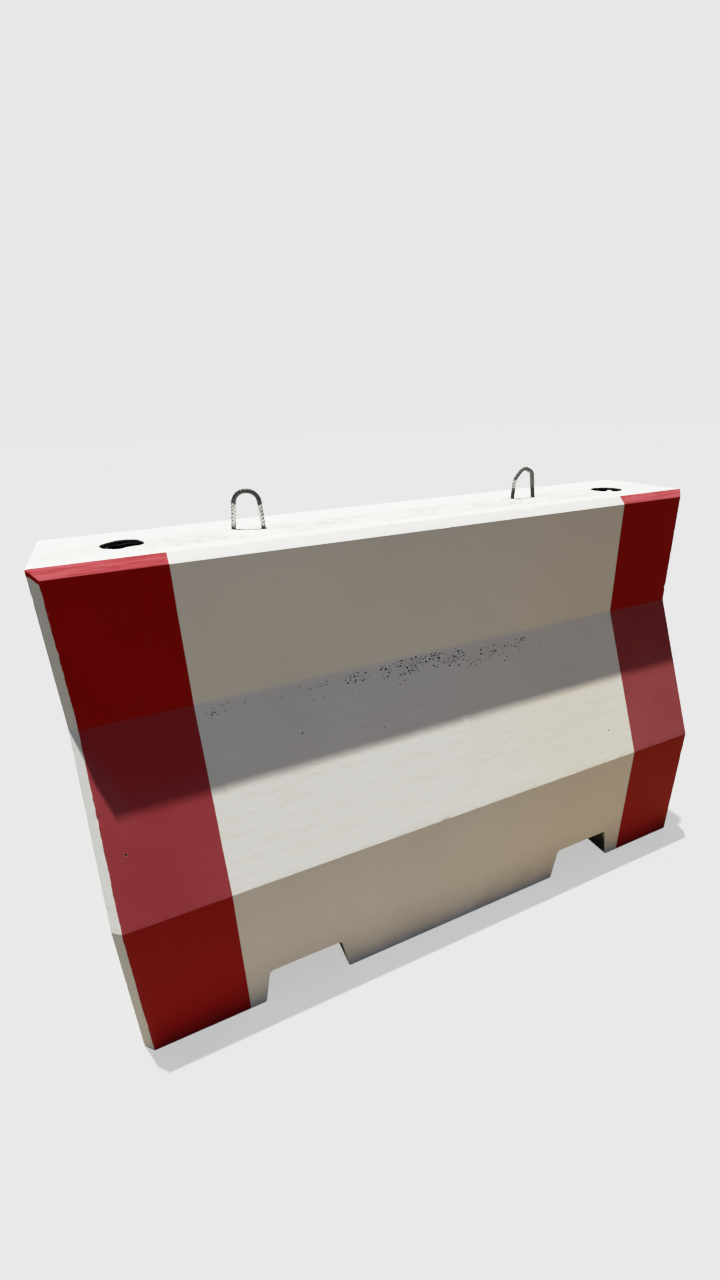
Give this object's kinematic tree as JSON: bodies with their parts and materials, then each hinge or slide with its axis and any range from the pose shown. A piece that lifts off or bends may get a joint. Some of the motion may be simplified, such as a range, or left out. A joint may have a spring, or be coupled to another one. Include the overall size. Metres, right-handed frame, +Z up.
{
  "type": "concrete safety barrier",
  "caption": "Precast concrete safety barrier with sloped faces, top lifting loops, post sleeves, base fork-lift pockets and red end bands on white paint.",
  "frame": {"origin": "middle of the base, on the ground", "axes": "+X along the barrier, +Y through it towards the back, +Z up"},
  "size_m": [1.54, 0.601, 1.081],
  "materials": {
    "painted_concrete": "matte",
    "red_paint": "satin",
    "loop_steel": "satin",
    "cage_steel": "matte",
    "sleeve_pvc": "matte",
    "mortar": "matte"
  },
  "bodies": {
    "root": {"concrete_body": "painted_concrete", "cover_block_back_left": "mortar", "cover_block_back_right": "mortar", "cover_block_front_left": "mortar", "cover_block_front_right": "mortar", "lifting_loop_left": "loop_steel", "lifting_loop_right": "loop_steel", "long_bar_base_back": "cage_steel", "long_bar_base_front": "cage_steel", "long_bar_kerb_back": "cage_steel", "long_bar_kerb_front": "cage_steel", "long_bar_top_back": "cage_steel", "long_bar_top_front": "cage_steel", "long_bar_waist_back": "cage_steel", "long_bar_waist_front": "cage_steel", "pipe_sleeve_left": "sleeve_pvc", "pipe_sleeve_right": "sleeve_pvc", "red_band_back_left": "red_paint", "red_band_back_right": "red_paint", "red_band_front_left": "red_paint", "red_band_front_right": "red_paint", "stirrup_1": "cage_steel", "stirrup_2": "cage_steel", "stirrup_3": "cage_steel", "stirrup_4": "cage_steel", "stirrup_5": "cage_steel", "stirrup_6": "cage_steel", "stirrup_7": "cage_steel", "stirrup_8": "cage_steel"}
  },
  "joints": []
}
